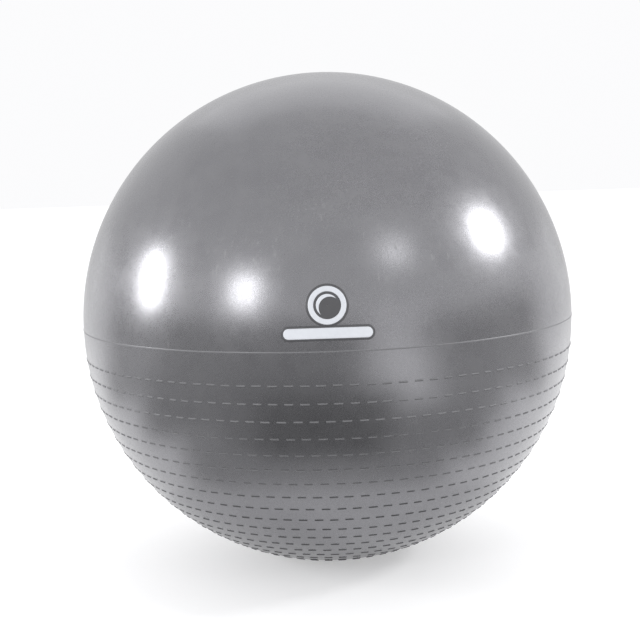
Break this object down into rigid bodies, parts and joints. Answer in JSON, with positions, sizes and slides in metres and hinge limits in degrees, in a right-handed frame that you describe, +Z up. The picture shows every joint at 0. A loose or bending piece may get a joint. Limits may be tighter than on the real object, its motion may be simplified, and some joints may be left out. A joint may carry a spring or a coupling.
{
  "type": "exercise ball",
  "caption": "Large inflatable exercise ball with a smooth upper half, a lower half covered in rows of short grip ribs, a raised parting line and a flush push-in valve plug.",
  "frame": {"origin": "middle of the flat patch the ball rests on, at floor height", "axes": "+Z up through the valve at the top of the smooth half, -Y out through the printed emblem at the front, +X to the right of the emblem seen from the front"},
  "size_m": [0.6508, 0.6508, 0.6479],
  "materials": {
    "skin": "satin",
    "seat": "satin",
    "plug": "satin",
    "keyline_ink": "matte",
    "print_ink": "matte"
  },
  "bodies": {
    "ball": {"ball_skin": "skin", "valve_seat": "seat", "emblem_keyline": "keyline_ink", "emblem_print": "print_ink"},
    "plug": {"valve_plug": "plug"}
  },
  "joints": [
    {"name": "plug_pull", "type": "slide", "parent": "ball", "child": "plug", "axis": [0, 0, 1], "range_m": [0, 0.04]}
  ]
}
